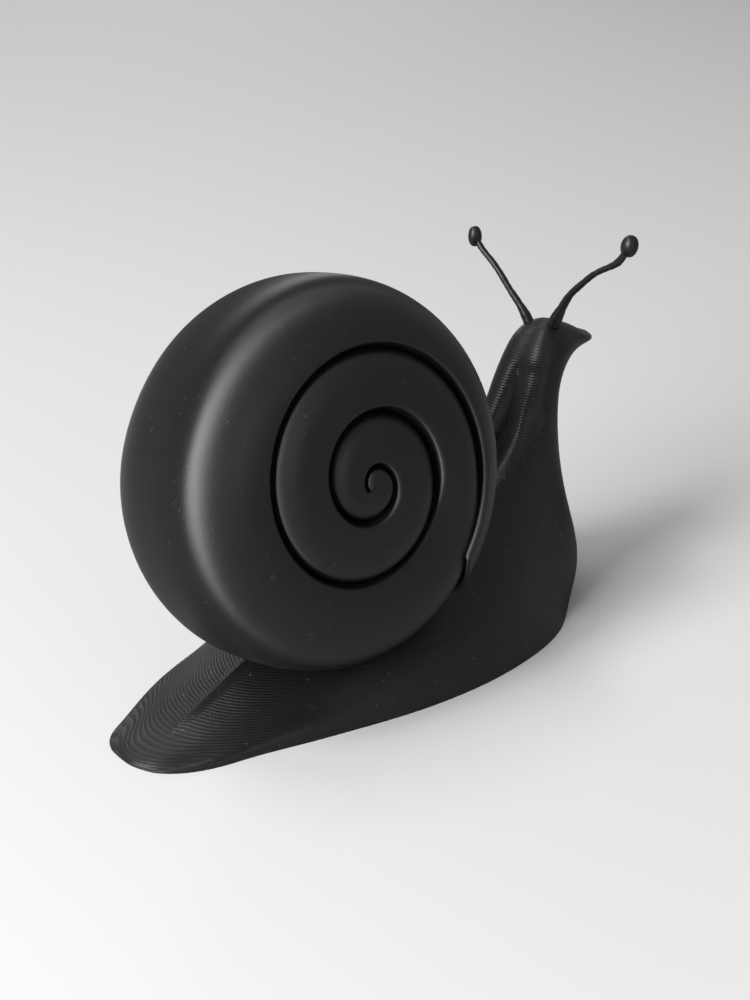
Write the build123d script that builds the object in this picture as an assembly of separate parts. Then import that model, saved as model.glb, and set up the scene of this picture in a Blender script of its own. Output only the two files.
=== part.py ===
from build123d import *
import math
import os

os.makedirs("parts", exist_ok=True)

# A garden snail printed in plastic. It stands on its foot, and its coiled shell is a print of
# its own, pinned into a seat in the foot's back. The eye stalks are thin strands set in the head.
# X runs forward along the snail, Y to its left and Z up, in millimetres.
# The origin is the middle of the sole, on the plane that halves the foot.

# Foot, neck and head
foot_length = 58.0
foot_width = 26.6
foot_rim_height = 1.3
head_height = 27.0
throat_bulge = 0.3
cut_overrun = 0.8
rim_share = 0.35

# Scoop in the nape: it runs up the neck's back, right of the mid-plane, and dies out. Its two
# ends are shares of the foot's length, half its width and the head's height.
scoop_bottom_share_place = (0.286, -0.165, 0.475)
scoop_top_share_place = (0.403, -0.070, 0.890)
scoop_bottom_radius = 2.6
scoop_top_radius = 3.2
scoop_bottom_depth = 1.5
scoop_top_depth = 0.45
scoop_turn_angle = 30.0

# Shell
shell_radius = 18.0
shell_thickness = 18.2
rim_reach = 9.5
rim_drift = 1.0
last_turn_width = 4.54
shoulder_depth = 3.25
face_fall = 0.5
apex_rise = 0.45
suture_width = 0.9
suture_depth = 0.5
shoulder_overlap = 0.3
hub_radius = 2.6
hub_depth = 1.2
lip_wall = 0.75
lip_flare = 0.35
mouth_edge_inset = 4.0
shell_behind_middle = 7.5
shell_beside_midplane = 1.5
shell_bottom_height = 3.6
shell_tilt = 12.0
shell_yaw = 7.0
seat_clearance = 0.12

# Clock angles of the coil in degrees, clockwise from the top, seen from the snail's right. The
# last turn swells out of the turn before it between its two swell angles.
full_turn = 360.0
coil_zero_angle = -18.0
coil_start_angle = -215.0
swell_start_angle = 455.0
swell_end_angle = 512.0
last_turn_angle = 503.0
hidden_joint_angle = 560.0
lip_angle = 885.0
mouth_edge_angle = 134.0
mouth_lean_angle = -11.0
hollow_angle = 38.0
flare_angle = 60.0
section_step = 30.0
swell_step = 11.5

# Form of the coil's section: where its crest lies between the grooves, how shallow the first
# shoulder is, and how square the shoulders and the rim are
crest_share = 0.45
first_depth_share = 0.3
first_inner_share = 0.05
shoulder_power = 4.5
first_rim_power = 3.4
rim_power = 2.5
rim_round_share = 0.25
groove_power = 1.5
rounding_shares = (0, 0.25, 0.5, 0.75, 1)
groove_shares = ((0.75, 0.35), (0.4, 0), (0, 0))

# Pins that locate the shell on the foot
pin_diameter = 1.75
pin_length = 5.0
pin_depth_in_foot = 2.0
pin_clearance = 0.05
front_pin_angle = 160.0
rear_pin_angle = 193.0
pin_inset = 2.2

# Eye stalks and the knobs at their tips
stalk_diameter_left = 0.66
stalk_diameter_right = 0.76
stalk_clearance = 0.05
knob_width_left = 1.4
knob_length_left = 2.1
knob_width_right = 1.7
knob_length_right = 2.15

# Body sections from the tail tip to the snout. Each has the place of its base and of its top
# along the foot's length and up the head's height, how far it swings to the left, and its half
# widths from the base upwards, as shares of the foot's length, the head's height and half the
# foot's width.
body_share_rows = [
    (0.002, 0.0, 0.003, 0.012, 0.020, (0.120, 0.12, 0.10, 0.06, 0.008)),
    (0.020, 0.0, 0.020, 0.022, 0.037, (0.270, 0.27, 0.24, 0.16, 0.010)),
    (0.066, 0.0, 0.066, 0.040, 0.025, (0.420, 0.41, 0.36, 0.24, 0.010)),
    (0.141, 0.0, 0.141, 0.087, 0.035, (0.543, 0.53, 0.48, 0.31, 0.012)),
    (0.224, 0.0, 0.224, 0.156, 0.020, (0.657, 0.64, 0.56, 0.34, 0.012)),
    (0.310, 0.0, 0.310, 0.215, 0.0, (0.765, 0.74, 0.66, 0.44, 0.05)),
    (0.414, 0.0, 0.414, 0.260, 0.0, (0.900, 0.87, 0.78, 0.56, 0.12)),
    (0.535, 0.0, 0.535, 0.300, 0.0, (0.990, 0.96, 0.84, 0.60, 0.18)),
    (0.655, 0.0, 0.655, 0.370, 0.0, (0.995, 0.95, 0.78, 0.55, 0.22)),
    (0.793, 0.0, 0.741, 0.470, 0.0, (0.865, 0.81, 0.64, 0.45, 0.20)),
    (0.895, 0.0, 0.798, 0.560, 0.0, (0.600, 0.63, 0.52, 0.38, 0.18)),
    (0.962, 0.074, 0.833, 0.625, 0.0, (0.400, 0.49, 0.43, 0.34, 0.17)),
    (0.965, 0.260, 0.853, 0.680, 0.0, (0.270, 0.36, 0.36, 0.30, 0.16)),
    (0.959, 0.444, 0.869, 0.735, 0.0, (0.200, 0.28, 0.31, 0.27, 0.15)),
    (0.957, 0.650, 0.886, 0.800, 0.0, (0.160, 0.24, 0.27, 0.25, 0.14)),
    (0.972, 0.775, 0.908, 0.885, 0.0, (0.140, 0.21, 0.25, 0.23, 0.11)),
    (1.004, 0.846, 0.945, 0.975, 0.0, (0.130, 0.19, 0.23, 0.20, 0.09)),
    (1.036, 0.868, 1.000, 0.978, 0.0, (0.120, 0.17, 0.19, 0.16, 0.08)),
    (1.064, 0.872, 1.045, 0.930, 0.0, (0.100, 0.14, 0.16, 0.13, 0.06)),
    (1.083, 0.868, 1.078, 0.900, 0.0, (0.050, 0.08, 0.09, 0.07, 0.03)),
]
height_shares = (0.0, 0.15, 0.45, 0.75, 1.0)

# Paths of the stalks from root to tip, in the plane between the eyes: to the left and above the
# crown as shares of the head's height, and how thick the stalk is as a share of its diameter.
crown_share = 0.966
left_stalk_shares = [
    (0.044, -0.067, 1.40),
    (0.070, -0.022, 1.70),
    (0.108, 0.026, 1.20),
    (0.161, 0.078, 1.00),
    (0.209, 0.130, 1.00),
    (0.257, 0.174, 0.95),
    (0.300, 0.207, 0.95),
    (0.333, 0.244, 0.90),
]
right_stalk_shares = [
    (-0.033, -0.048, 1.40),
    (-0.056, 0.004, 1.75),
    (-0.087, 0.064, 1.20),
    (-0.121, 0.120, 0.95),
    (-0.169, 0.170, 0.88),
    (-0.226, 0.222, 0.80),
    (-0.280, 0.256, 0.80),
    (-0.328, 0.288, 1.00),
    (-0.362, 0.338, 0.90),
]
# Middles of the knobs in the same plane, and how far they lean to the left
left_knob_share_place = (0.338, 0.250)
right_knob_share_place = (-0.374, 0.357)
left_knob_lean_share = 0.05
right_knob_lean_share = -0.25

# The rim's radius round the last turn, from its start below the mouth, as shares of the shell's
rim_radius_shares = (0.942, 0.981, 0.995, 0.965, 0.988, 0.997, 0.997)

# Half outline of a knob: out from its axis and along it, as shares of its width and length
knob_outline_shares = ((0.13, -0.50), (0.37, -0.36), (0.50, 0.0), (0.40, 0.32), (0.14, 0.50))


# Foot, neck and head: one loft through upright, then leaning sections

def body_section(row):
    base_x, base_z, top_x, top_z, swing, width_shares = row
    base = Vector((base_x - 1 / 2) * foot_length, 0, base_z * head_height)
    top = Vector((top_x - 1 / 2) * foot_length, 0, top_z * head_height)
    height = (top - base).length
    up = (top - base) / height
    on_ground = base_z == 0
    rim = min(foot_rim_height, rim_share * height) if on_ground else height_shares[1] * height
    heights = [0, rim] + [share * height for share in height_shares[2:]]
    if on_ground:
        heights[0] = -cut_overrun
    reach = foot_width / 2

    def at(side, i):
        sideways = swing * reach * (1 - height_shares[i])
        return base + up * heights[i] + Vector(0, sideways + side * width_shares[i] * reach, 0)

    right = [at(-1, i) for i in range(5)]
    left = [at(1, i) for i in range(5)]
    middle = (left[0] + right[0]) / 2
    base_middle = middle if on_ground else middle - up * throat_bulge
    return Wire([
        Spline(left[0], base_middle, right[0]),
        Spline(*right),
        Spline(right[-1], top, left[-1]),
        Spline(*reversed(left)),
    ])


body = Solid.make_loft([body_section(row) for row in body_share_rows])
below_ground = Box(3 * foot_length, 3 * foot_width, foot_width, align=(Align.CENTER, Align.CENTER, Align.MAX))
body = body - below_ground


# The coil has a frame of its own: Z along its axis, out of the snail's right side, Y up the
# clock's twelve and X to its three. Its origin is the middle of the shell, and its two faces
# are alike, so only the half towards the snail's right is drawn.

def turned(angle):
    return Vector(math.sin(math.radians(angle)), math.cos(math.radians(angle)), 0)


whorl_pitch = (shell_radius - last_turn_width) * full_turn / (last_turn_angle + full_turn - coil_zero_angle)


def suture_radius(angle):
    return max(whorl_pitch * (angle - coil_zero_angle) / full_turn, 0)


def mix(a, b, share):
    return a + (b - a) * share


def clamped(share):
    return min(max(share, 0), 1)


def rim_radius(angle):
    """Radius of the last turn's rim, eased through the shares, which stand a sixth of a turn apart."""
    last = len(rim_radius_shares) - 1
    place = clamped((angle - last_turn_angle) / full_turn) * last
    i = min(int(place), last - 1)
    t = place - i
    p0, p1, p2, p3 = (rim_radius_shares[min(max(i + k, 0), last)] for k in (-1, 0, 1, 2))
    rise, lift = (p2 - p0) / 2, (p3 - p1) / 2
    share = p1 + rise * t + (3 * (p2 - p1) - 2 * rise - lift) * t * t + (2 * (p1 - p2) + rise + lift) * t ** 3
    return shell_radius * share


def whorl(angle, wall=0.0, grow=0.0):
    """Half section of the coil: its rounded shoulder or rim, its face and the groove beside it."""
    change = grow - wall
    inner_suture = suture_radius(angle)
    outer_suture = suture_radius(angle + full_turn)
    full = min(outer_suture / whorl_pitch, 1)
    swell = clamped((angle - swell_start_angle) / (swell_end_angle - swell_start_angle))
    last = swell * swell * (3 - 2 * swell)
    share = clamped((angle - last_turn_angle) / full_turn)
    flare = lip_flare * max(0, (angle - lip_angle) / flare_angle + 1)
    rim = rim_radius(angle)
    crest = mix(mix(inner_suture, outer_suture, crest_share), rim - rim_reach, last)
    outer = mix(outer_suture + shoulder_overlap * full, rim, last) + flare + change
    inner_height = apex_rise - face_fall * crest / rim_reach
    last_height = apex_rise - face_fall + rim_drift * share
    height = shell_thickness / 2 + mix(inner_height, last_height, last) + change
    depth = mix(shoulder_depth * mix(first_depth_share, 1, full), height, last)
    power = mix(shoulder_power, mix(first_rim_power, rim_power, clamped(share / rim_round_share)), last)
    reach = outer - crest
    innermost = first_inner_share * outer
    groove = max(inner_suture, innermost)
    face_start = max(crest, groove + suture_width)

    def rise(r):
        across_share = max((r - crest) / reach, 0)
        return (1 - across_share ** power) ** (1 / power)

    away = turned(angle)
    axis_up = Vector(0, 0, 1)
    last_bend = math.atan2(rise(face_start), (face_start - crest) / reach)
    face = []
    for bend_share in rounding_shares:
        bend = last_bend * bend_share
        size = (math.sin(math.pi / 2 - bend) ** power + math.sin(bend) ** power) ** (-1 / power)
        face.append((crest + reach * size * math.sin(math.pi / 2 - bend), depth * size * math.sin(bend)))
    for groove_share, face_share in groove_shares:
        r = groove + suture_width * groove_share + (face_start - groove - suture_width) * face_share
        dip = suture_depth * (1 - clamped((r - groove) / suture_width)) ** groove_power
        face.append((r, depth * rise(r) - dip))
    points = [away * r + axis_up * (height - depth + z) for r, z in face]
    inner = max(groove - 2 * shoulder_overlap, innermost / 2)
    foot_out = away * outer - axis_up * cut_overrun
    foot_in = away * inner - axis_up * cut_overrun
    return Wire([
        Line(foot_out, points[0]),
        Spline(*points, tangents=[axis_up, (points[-1] - points[-2]).normalized()]),
        Line(points[-1], foot_in),
        Line(foot_in, foot_out),
    ])


def coil(start, end, step, **options):
    count = math.ceil((end - start) / step)
    angles = [start + (end - start) * i / count for i in range(count + 1)]
    return Solid.make_loft([whorl(angle, **options) for angle in angles])


def both_sides(half):
    """Trims a half form at the shell's middle plane and joins it to its mirror image."""
    beyond_middle = Box(3 * shell_radius, 3 * shell_radius, shell_radius, align=(Align.CENTER, Align.CENTER, Align.MAX))
    trimmed = half - beyond_middle
    return trimmed.fuse(trimmed.mirror(Plane.XY))


half_turn = full_turn / 2
inner_turns = [
    coil(coil_start_angle, swell_start_angle - 3 * half_turn, section_step),
    coil(swell_start_angle - 3 * half_turn, swell_start_angle - 2 * half_turn, section_step),
    coil(swell_start_angle - 2 * half_turn, swell_start_angle - half_turn, section_step),
    coil(swell_start_angle - half_turn, swell_start_angle, section_step),
]
last_turn_rear = coil(swell_start_angle, hidden_joint_angle, swell_step)
last_turn_front = coil(hidden_joint_angle, lip_angle, section_step)

# The mouth: the last turn ends on an oblique plane and is hollow behind it
mouth_edge = Plane(
    origin=turned(mouth_edge_angle) * (shell_radius - mouth_edge_inset),
    x_dir=turned(90 + mouth_lean_angle),
    z_dir=(0, 0, 1),
)
beyond_mouth = mouth_edge.location * Box(
    rim_reach, shell_radius, 3 * shell_thickness, align=(Align.MAX, Align.CENTER, Align.CENTER)
)
hollow = coil(lip_angle - hollow_angle, lip_angle + section_step / 3, section_step, wall=lip_wall)
last_turn_front = last_turn_front - beyond_mouth - hollow
hub_length = shell_thickness / 2 + apex_rise - hub_depth + cut_overrun
hub = Pos(0, 0, -cut_overrun) * Cylinder(hub_radius, hub_length, align=(Align.CENTER, Align.CENTER, Align.MIN))
near_half = last_turn_rear.fuse(last_turn_front, hub, *inner_turns)
shell = both_sides(near_half)

yaw = math.radians(shell_yaw)
tilt = math.radians(shell_tilt)
axis = Vector(-math.sin(yaw) * math.cos(tilt), -math.cos(yaw) * math.cos(tilt), math.sin(tilt))
ahead = Vector(0, 0, 1).cross(axis).normalized()
shell_middle = Vector(-shell_behind_middle, -shell_beside_midplane, shell_bottom_height + shell_radius)
shell_place = Plane(origin=shell_middle, x_dir=ahead, z_dir=axis).location
shell = shell_place * shell

# The seat in the foot's back is the shell's own form with a clearance
seat_rear = coil(swell_start_angle, hidden_joint_angle, swell_step, grow=seat_clearance)
seat_middle = coil(hidden_joint_angle, last_turn_angle + half_turn, section_step, grow=seat_clearance)
body = body - shell_place * both_sides(seat_rear.fuse(seat_middle))
seat_front = coil(last_turn_angle + full_turn - half_turn / 2, lip_angle, section_step, grow=seat_clearance)
seat_front = seat_front - mouth_edge.location * Pos(-seat_clearance, 0, 0) * Box(
    rim_reach, shell_radius, 3 * shell_thickness, align=(Align.MAX, Align.CENTER, Align.CENTER))
body = body - shell_place * both_sides(seat_front)


# Scoop in the nape
def cone_between(start, end, start_radius, end_radius):
    length = (end - start).length
    place = Plane(origin=start, z_dir=(end - start).normalized()).location
    cone = Cone(start_radius, end_radius, length, align=(Align.CENTER, Align.CENTER, Align.MIN))
    return place * cone


def on_neck(shares):
    ahead_share, left_share, up_share = shares
    return Vector(ahead_share * foot_length, left_share * foot_width / 2, up_share * head_height)


scoop_start = on_neck(scoop_bottom_share_place)
scoop_end = on_neck(scoop_top_share_place)
run = (scoop_end - scoop_start).normalized()
backward = Vector(-run.Z, 0, run.X).normalized()
outward = backward.rotate(Axis((0, 0, 0), run), scoop_turn_angle)
body = body - cone_between(
    scoop_start + outward * (scoop_bottom_radius - scoop_bottom_depth),
    scoop_end + outward * (scoop_top_radius - scoop_top_depth),
    scoop_bottom_radius,
    scoop_top_radius,
)


# Pins between the shell and the foot, along the coil's radius
def pin(angle, grow=0.0):
    length = pin_length + 2 * grow
    middle_radius = rim_radius(last_turn_angle) + pin_depth_in_foot - pin_length / 2
    middle = turned(angle) * middle_radius - Vector(0, 0, pin_inset)
    place = Plane(origin=middle, x_dir=(0, 0, 1), z_dir=turned(angle)).location
    return shell_place * place * Cylinder(pin_diameter / 2 + grow, length)


shell_pin_front = pin(front_pin_angle)
shell_pin_rear = pin(rear_pin_angle)
holes = [pin(front_pin_angle, pin_clearance), pin(rear_pin_angle, pin_clearance)]
body = body - holes[0] - holes[1]
shell = shell - holes[0] - holes[1]


# Eye stalks: bent strands that thicken where they enter the head
stalk_crown = Vector((crown_share - 1 / 2) * foot_length, 0, head_height)


def stalk(shares, diameter, grow=0.0):
    points = [stalk_crown + Vector(0, left, above) * head_height for left, above, _ in shares]
    rings = []
    for i, point in enumerate(points):
        heading = points[min(i + 1, len(points) - 1)] - points[max(i - 1, 0)]
        plane = Plane(origin=point, x_dir=(1, 0, 0), z_dir=heading.normalized())
        rings.append(Wire.make_circle(shares[i][2] * diameter / 2 + grow, plane))
    return Solid.make_loft(rings, ruled=True)


def knob(place_shares, lean, width, length):
    left, above = place_shares
    middle = stalk_crown + Vector(0, left, above) * head_height
    rings = [Wire.make_circle(x * width, Plane(origin=(0, 0, z * length))) for x, z in knob_outline_shares]
    heading = Vector(0, lean, 1).normalized()
    return Plane(origin=middle, x_dir=(1, 0, 0), z_dir=heading).location * Solid.make_loft(rings)


eye_stalk_left = stalk(left_stalk_shares, stalk_diameter_left)
eye_stalk_right = stalk(right_stalk_shares, stalk_diameter_right)
socket_left = stalk(left_stalk_shares, stalk_diameter_left, stalk_clearance)
socket_right = stalk(right_stalk_shares, stalk_diameter_right, stalk_clearance)
body = body - socket_left - socket_right
eye_knob_left = knob(left_knob_share_place, left_knob_lean_share, knob_width_left, knob_length_left)
eye_knob_left = eye_knob_left - socket_left
eye_knob_right = knob(right_knob_share_place, right_knob_lean_share, knob_width_right, knob_length_right)
eye_knob_right = eye_knob_right - socket_right

export_step(body, "parts/body.step")
export_step(shell, "parts/shell.step")
export_step(shell_pin_front, "parts/shell_pin_front.step")
export_step(shell_pin_rear, "parts/shell_pin_rear.step")
export_step(eye_stalk_left, "parts/eye_stalk_left.step")
export_step(eye_stalk_right, "parts/eye_stalk_right.step")
export_step(eye_knob_left, "parts/eye_knob_left.step")
export_step(eye_knob_right, "parts/eye_knob_right.step")
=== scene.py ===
import math
from math import radians

import bmesh
import bpy
import numpy as np
from bpy.props import FloatProperty, FloatVectorProperty, IntProperty, PointerProperty
from mathutils import Matrix, Vector


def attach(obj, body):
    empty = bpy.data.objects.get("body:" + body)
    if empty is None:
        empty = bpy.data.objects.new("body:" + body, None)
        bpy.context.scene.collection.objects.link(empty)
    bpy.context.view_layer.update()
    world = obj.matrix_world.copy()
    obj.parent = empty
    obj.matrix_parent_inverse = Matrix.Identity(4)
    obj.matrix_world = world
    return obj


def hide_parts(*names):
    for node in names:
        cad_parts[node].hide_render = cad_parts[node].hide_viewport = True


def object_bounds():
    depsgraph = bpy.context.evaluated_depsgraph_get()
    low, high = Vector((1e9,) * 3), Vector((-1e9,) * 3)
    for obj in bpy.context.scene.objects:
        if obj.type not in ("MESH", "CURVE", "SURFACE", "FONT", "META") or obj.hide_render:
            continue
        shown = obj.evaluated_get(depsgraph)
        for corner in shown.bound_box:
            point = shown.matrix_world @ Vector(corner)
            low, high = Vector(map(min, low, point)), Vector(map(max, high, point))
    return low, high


bl_info = {
    "name": "Printed snail figurine",
    "version": (1, 0, 0),
    "blender": (4, 5, 0),
    "location": "3D View > Sidebar > Snail",
    "description": "Dresses the snail's pieces in black printed plastic and sets its stage",
    "category": "Object",
}

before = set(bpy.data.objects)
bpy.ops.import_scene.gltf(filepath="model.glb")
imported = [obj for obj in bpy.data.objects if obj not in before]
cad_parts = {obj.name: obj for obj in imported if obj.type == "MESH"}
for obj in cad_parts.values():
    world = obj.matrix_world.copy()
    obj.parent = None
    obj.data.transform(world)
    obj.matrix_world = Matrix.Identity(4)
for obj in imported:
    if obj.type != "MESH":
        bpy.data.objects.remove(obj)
cad_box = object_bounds()

# Sizes are in metres. The snail faces +X, its left is +Y, and its sole lies on Z = 0.

FULL_TURN = math.tau


class SnailBodySizes(bpy.types.PropertyGroup):
    foot_length: FloatProperty(
        name="Foot length", description="Length of the sole", default=0.058, unit="LENGTH")
    foot_width: FloatProperty(
        name="Foot width", description="Width of the sole", default=0.0266, unit="LENGTH")
    rim_height: FloatProperty(
        name="Rim height", description="Height of the foot's upright rim", default=0.0013, unit="LENGTH")
    head_height: FloatProperty(
        name="Head height", description="Height of the crown above the sole", default=0.027, unit="LENGTH")
    throat_bulge: FloatProperty(
        name="Throat bulge", description="How far the throat is rounded", default=0.0003, unit="LENGTH")
    tip_length: FloatProperty(
        name="Tip length", description="Over what length the tail's end is rounded",
        default=0.0011, unit="LENGTH")
    tail_crowding: FloatProperty(
        name="Tail crowding",
        description="How closely the rings stand at the round tail end, one for even steps",
        default=1.7, min=1)
    crest_height: FloatProperty(
        name="Crest height", description="How far the crest stands on the tail's ridge",
        default=0.00035, unit="LENGTH")
    crest_width: FloatProperty(
        name="Crest width", description="Half the width of the crest on the tail's ridge",
        default=0.0009, unit="LENGTH")
    ridge_end: FloatProperty(
        name="Ridge's end",
        description="Where the tail's ridge fades out, as a share of the foot's length",
        default=0.40, min=0.1, max=1)
    scoop_depth: FloatProperty(
        name="Scoop depth", description="Depth of the scoop in the nape at its lower end",
        default=0.0017, unit="LENGTH")
    scoop_left: FloatProperty(
        name="Scoop's left edge", description="Where the scoop's step lies, to the left of the middle",
        default=0.0006, unit="LENGTH")
    scoop_right: FloatProperty(
        name="Scoop's right edge",
        description="Where the scoop's ridge lies, to the right of the middle",
        default=0.0037, unit="LENGTH")
    scoop_bottom: FloatProperty(
        name="Scoop's bottom", description="Height of the scoop's lower edge", default=0.0123, unit="LENGTH")
    scoop_top: FloatProperty(
        name="Scoop's top", description="Height at which the scoop has faded out",
        default=0.0238, unit="LENGTH")
    steps_along: IntProperty(
        name="Steps along", description="Rings from the tail to the snout", default=330, min=40)
    seat_gap: FloatProperty(
        name="Seat gap", description="Clearance between the shell and its seat",
        default=0.00012, unit="LENGTH")


class SnailShellSizes(bpy.types.PropertyGroup):
    radius: FloatProperty(
        name="Radius", description="Radius of the shell at its rim", default=0.018, unit="LENGTH")
    thickness: FloatProperty(
        name="Thickness", description="Thickness of the coil along its axis", default=0.0182, unit="LENGTH")
    rim_reach: FloatProperty(
        name="Rim reach", description="How far the last turn's round rim reaches in",
        default=0.0095, unit="LENGTH")
    rim_drift: FloatProperty(
        name="Rim drift", description="How much prouder the last turn's faces get",
        default=0.001, unit="LENGTH")
    pitch: FloatProperty(
        name="Whorl pitch", description="Distance from one groove to the next", default=0.0055, unit="LENGTH")
    shoulder_power: FloatProperty(
        name="Shoulder squareness", description="How square the inner turns' shoulders are",
        default=2.7, min=2, max=8)
    hook_radius: FloatProperty(
        name="Hook radius", description="Radius of the groove's inner end round the middle",
        default=0.00107, unit="LENGTH")
    shoulder_depth: FloatProperty(
        name="Shoulder depth", description="Depth of the inner turns' rounded shoulders",
        default=0.0029, unit="LENGTH")
    face_fall: FloatProperty(
        name="Face fall", description="How far the face falls from its middle to the rim",
        default=0.0005, unit="LENGTH")
    apex_rise: FloatProperty(
        name="Apex rise", description="How far the middle of the face stands proud",
        default=0.00045, unit="LENGTH")
    groove_width: FloatProperty(
        name="Groove width", description="Width of the groove's outer slope", default=0.0008, unit="LENGTH")
    sink: FloatProperty(
        name="Sink", description="How far the last turn's inner edge lies below the turn before",
        default=0.0012, unit="LENGTH")
    groove_depth: FloatProperty(
        name="Groove depth", description="Depth of the groove between turns", default=0.0015, unit="LENGTH")
    overlap: FloatProperty(
        name="Overlap", description="How far a turn reaches under the next", default=0.0003, unit="LENGTH")
    lip_wall: FloatProperty(
        name="Lip wall", description="Thickness of the lip at the mouth", default=0.00075, unit="LENGTH")
    lip_flare: FloatProperty(
        name="Lip flare", description="How far the lip flares out", default=0.00035, unit="LENGTH")
    mouth_radius: FloatProperty(
        name="Mouth radius", description="Distance of the mouth's edge from the coil's axis",
        default=0.014, unit="LENGTH")
    steps_along: IntProperty(
        name="Steps along", description="Sections along the coil", default=620, min=60)
    steps_around: IntProperty(
        name="Steps around", description="Points round each section", default=148, min=40)
    behind_middle: FloatProperty(
        name="Behind the middle", description="How far the shell's middle lies behind the sole's",
        default=0.0075, unit="LENGTH")
    beside_middle: FloatProperty(
        name="Beside the middle", description="How far the shell's middle lies to the right",
        default=0.0015, unit="LENGTH")
    centre_height: FloatProperty(
        name="Centre height", description="Height of the shell's middle", default=0.0216, unit="LENGTH")
    tilt: FloatProperty(
        name="Tilt", description="How far the coil's axis leans up", default=radians(12), subtype="ANGLE")
    yaw: FloatProperty(
        name="Yaw", description="How far the coil's axis turns back", default=radians(7), subtype="ANGLE")


class SnailEyeSizes(bpy.types.PropertyGroup):
    left_diameter: FloatProperty(
        name="Left stalk", description="Diameter of the left stalk", default=0.00066, unit="LENGTH")
    right_diameter: FloatProperty(
        name="Right stalk", description="Diameter of the right stalk", default=0.00076, unit="LENGTH")
    left_knob_width: FloatProperty(
        name="Left knob's width", description="Width of the left knob", default=0.0014, unit="LENGTH")
    left_knob_length: FloatProperty(
        name="Left knob's length", description="Length of the left knob", default=0.0021, unit="LENGTH")
    right_knob_width: FloatProperty(
        name="Right knob's width", description="Width of the right knob", default=0.0017, unit="LENGTH")
    right_knob_length: FloatProperty(
        name="Right knob's length", description="Length of the right knob", default=0.00215, unit="LENGTH")


class SnailPlastic(bpy.types.PropertyGroup):
    colour: FloatVectorProperty(
        name="Colour", description="Colour of the black plastic",
        default=(0.0062, 0.0062, 0.0065), subtype="COLOR", size=3, min=0, max=1)
    speck_colour: FloatVectorProperty(
        name="Specks", description="Colour of the fine specks",
        default=(0.045, 0.045, 0.045), subtype="COLOR", size=3, min=0, max=1)
    body_roughness: FloatProperty(
        name="Body roughness", description="Roughness of the layered body", default=0.4, min=0, max=1)
    shell_roughness: FloatProperty(
        name="Shell roughness", description="Roughness of the smooth shell", default=0.42, min=0, max=1)
    shell_sheen: FloatProperty(
        name="Shell sheen", description="How far the sheen stretches round the shell",
        default=1.0, min=0, max=1)
    strand_roughness: FloatProperty(
        name="Strand roughness", description="Roughness of the stalks, knobs and pins",
        default=0.4, min=0, max=1)
    gloss_index: FloatProperty(
        name="Gloss index", description="Refractive index of the plastic", default=1.46, min=1, max=2)
    grain_relief: FloatProperty(
        name="Grain", description="Height of the fine grain", default=0.000004, unit="LENGTH", precision=6)
    layer_height: FloatProperty(
        name="Layer height", description="Height of one printed layer",
        default=0.00025, unit="LENGTH", precision=5)
    layer_relief: FloatProperty(
        name="Layer relief", description="How far a layer's bead bulges on a steep side",
        default=0.000022, unit="LENGTH", precision=6)
    step_relief: FloatProperty(
        name="Step relief", description="How far layers step on a slope",
        default=0.000034, unit="LENGTH", precision=6)


class SnailStage(bpy.types.PropertyGroup):
    floor_colour: FloatVectorProperty(
        name="Floor", description="Colour of the floor as the camera sees it",
        default=(0.66, 0.655, 0.64), subtype="COLOR", size=3, min=0, max=1)
    floor_shade: FloatVectorProperty(
        name="Floor's shade", description="Colour of the light that the floor throws back",
        default=(0.36, 0.34, 0.32), subtype="COLOR", size=3, min=0, max=1)
    distance: FloatProperty(
        name="Lights' distance", description="Distance of the soft lights", default=0.5, unit="LENGTH")
    room: FloatProperty(
        name="Room", description="Strength of the room's even light", default=0.3, min=0)
    camera_place: FloatVectorProperty(
        name="Camera", description="Place of the camera",
        default=(-0.1239, -0.1177, 0.092), subtype="XYZ", size=3, unit="LENGTH")
    camera_heading: FloatProperty(
        name="Camera heading", description="Heading of the camera from +Y towards +X",
        default=radians(47), subtype="ANGLE")
    camera_pitch: FloatProperty(
        name="Camera pitch", description="How far the camera looks down",
        default=radians(24), subtype="ANGLE")
    lens: FloatProperty(
        name="Lens", description="Focal length on a 36 mm high frame", default=72.0, min=10)


# Soft lights: the directions of their two ends seen from the snail, as angles from +X towards +Y
# and above the floor, their width as an angle, and their brightness
SOFT_LIGHTS = {
    "tall_window": ((184, -1), (178, 30), 23, 21.0),
    "upper_window": ((174, 34), (152, 62), 15, 12.0),
    "top_strip": ((138, 66), (86, 60), 9, 9.0),
    "back_strip": ((62, 32), (46, 10), 8, 3.5),
    "fill": ((-94, 16), (-118, 26), 22, 1.1),
}
# What the soft lights stand round, the tint of the room's light, and half the floor's side
LIGHT_TARGET = (-0.008, 0, 0.02)
ROOM_COLOUR = (0.94, 0.97, 1.0)
FLOOR_REACH = 3.0

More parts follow.
